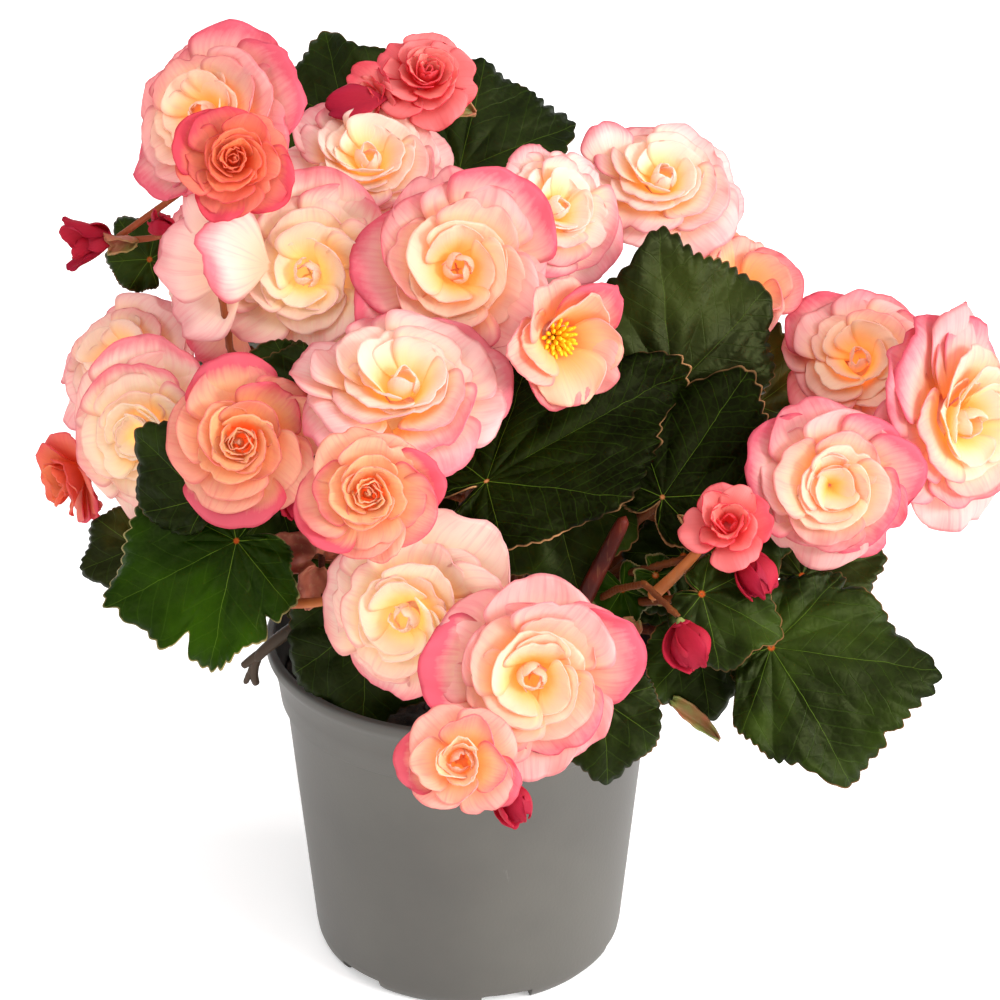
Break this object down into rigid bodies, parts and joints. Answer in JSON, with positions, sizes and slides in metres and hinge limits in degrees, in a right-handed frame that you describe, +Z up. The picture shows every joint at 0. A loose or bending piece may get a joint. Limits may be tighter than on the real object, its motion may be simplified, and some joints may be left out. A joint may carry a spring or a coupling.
{
  "type": "potted begonia",
  "caption": "Bushy double-flowered begonia with toothed dark leaves and pink-edged cream to coral blooms, growing in a plain grey nursery pot.",
  "frame": {"origin": "middle of the pot's underside, on the flat disc that it stands on", "axes": "+Z up, -Y towards the plant's front, +X to the right seen from the front"},
  "size_m": [0.3162, 0.2678, 0.3091],
  "materials": {
    "pot_plastic": "satin",
    "soil": "matte",
    "stem": "satin",
    "leaf": "satin",
    "petal_pale": "matte",
    "petal_coral": "matte",
    "petal_red": "matte"
  },
  "bodies": {
    "root": {"pot": "pot_plastic", "soil": "soil", "stem_left": "stem", "stem_back_left": "stem", "stem_centre": "stem", "stem_right": "stem", "stem_back": "stem", "bloom_top_left": "petal_pale", "bloom_top_left_rose": "petal_coral", "bloom_top_red": "petal_red", "bloom_top_pale": "petal_pale", "bloom_cream_left": "petal_pale", "bloom_side_left": "petal_pale", "bloom_centre": "petal_pale", "bloom_pale_right": "petal_pale", "bloom_stamens": "petal_pale", "bloom_top_right": "petal_pale", "bloom_right_cup": "petal_pale", "bloom_left_back": "petal_pale", "bloom_left_low": "petal_pale", "bloom_left_edge": "petal_coral", "bloom_rose_left": "petal_coral", "bloom_cream_centre": "petal_pale", "bloom_rose_front": "petal_coral", "bloom_front_left": "petal_pale", "bloom_front_right": "petal_pale", "bloom_front_small": "petal_coral", "bloom_far_back": "petal_pale", "bloom_far_right": "petal_pale", "bloom_far_front": "petal_pale", "bloom_coral_right": "petal_red", "bloom_back_left": "petal_pale", "bloom_back": "petal_pale", "bloom_back_right": "petal_coral", "bud_left_far": "petal_red", "bud_right_low": "petal_red", "bud_front_left": "petal_red", "leaf_top_left": "leaf", "leaf_top_right": "leaf", "leaf_left_small": "leaf", "leaf_centre_gap": "leaf", "leaf_left_round": "leaf", "leaf_left_large": "leaf", "leaf_left_low": "leaf", "leaf_centre_large": "leaf", "leaf_right_upper": "leaf", "leaf_right_behind": "leaf", "leaf_right_mid": "leaf", "leaf_centre_low": "leaf", "leaf_inner": "leaf", "leaf_right_low": "leaf", "leaf_right_large": "leaf", "leaf_right_back": "leaf", "leaf_front_low": "leaf", "leaf_front_right": "leaf", "leaf_pot_left": "leaf", "leaf_back_left": "leaf", "leaf_back": "leaf", "leaf_back_right": "leaf", "leaf_back_low": "leaf"}
  },
  "joints": []
}
